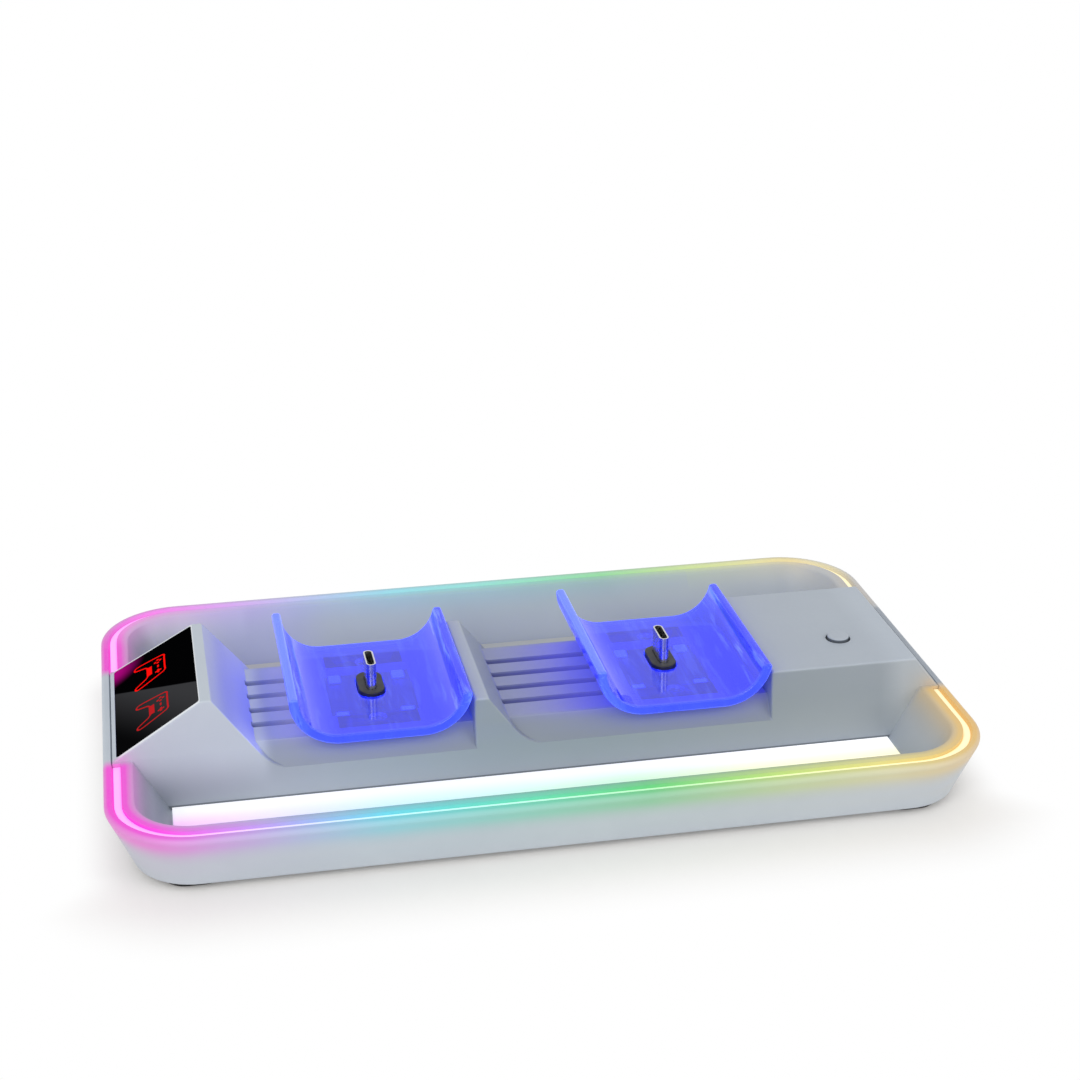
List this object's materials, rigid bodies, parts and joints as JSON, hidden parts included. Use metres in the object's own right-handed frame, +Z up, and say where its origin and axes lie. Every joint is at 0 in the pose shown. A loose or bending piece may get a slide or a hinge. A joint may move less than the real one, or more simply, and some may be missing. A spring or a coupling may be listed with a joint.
{
  "type": "controller charging dock",
  "caption": "Lit tray that charges game controllers standing nose down in clear cradles, with a tilted display at one end and a mode button at the other.",
  "frame": {"origin": "on the table, under the middle of the tray's outline", "axes": "+X along the tray from the display end to the button end, +Y to the back, +Z up"},
  "size_m": [0.206, 0.124, 0.0292],
  "materials": {
    "white_shell": "fine satin moulding",
    "milky_strip": "milky light diffuser",
    "lamp_tape": "flexible lamp tape",
    "milky_floor": "milky light diffuser",
    "black_window": "polished dark window",
    "clear_cradle": "polished clear acrylic",
    "circuit_board": "solder-masked laminate",
    "dark_collar": "fine matt",
    "plug_metal": "plated steel",
    "white_button": "fine satin moulding",
    "switch_body": "plain moulding",
    "foot_rubber": "matt rubber",
    "screw_steel": "plated steel"
  },
  "bodies": {
    "dock": {"upper_housing": "white_shell", "lower_housing": "white_shell", "front_light_strip": "milky_strip", "rear_light_strip": "milky_strip", "front_led_tape": "lamp_tape", "rear_led_tape": "lamp_tape", "front_floor_panel": "milky_floor", "rear_floor_panel": "milky_floor", "display_window": "black_window", "display_board": "circuit_board", "left_cradle": "clear_cradle", "right_cradle": "clear_cradle", "left_glow_board": "circuit_board", "right_glow_board": "circuit_board", "left_plug_collar": "dark_collar", "right_plug_collar": "dark_collar", "left_charge_plug": "plug_metal", "right_charge_plug": "plug_metal", "mode_switch": "switch_body", "switch_board": "circuit_board", "main_board": "circuit_board", "inlet_board": "circuit_board", "power_inlet": "plug_metal", "foot_front_left": "foot_rubber", "foot_front_right": "foot_rubber", "foot_rear_left": "foot_rubber", "foot_rear_right": "foot_rubber", "housing_screws": "screw_steel"},
    "button": {"mode_button": "white_button"}
  },
  "joints": [
    {"name": "button_press", "type": "slide", "parent": "dock", "child": "button", "axis": [0, 0, -1], "range_m": [0, 0.0005], "stiffness_N_per_m": 1500}
  ]
}
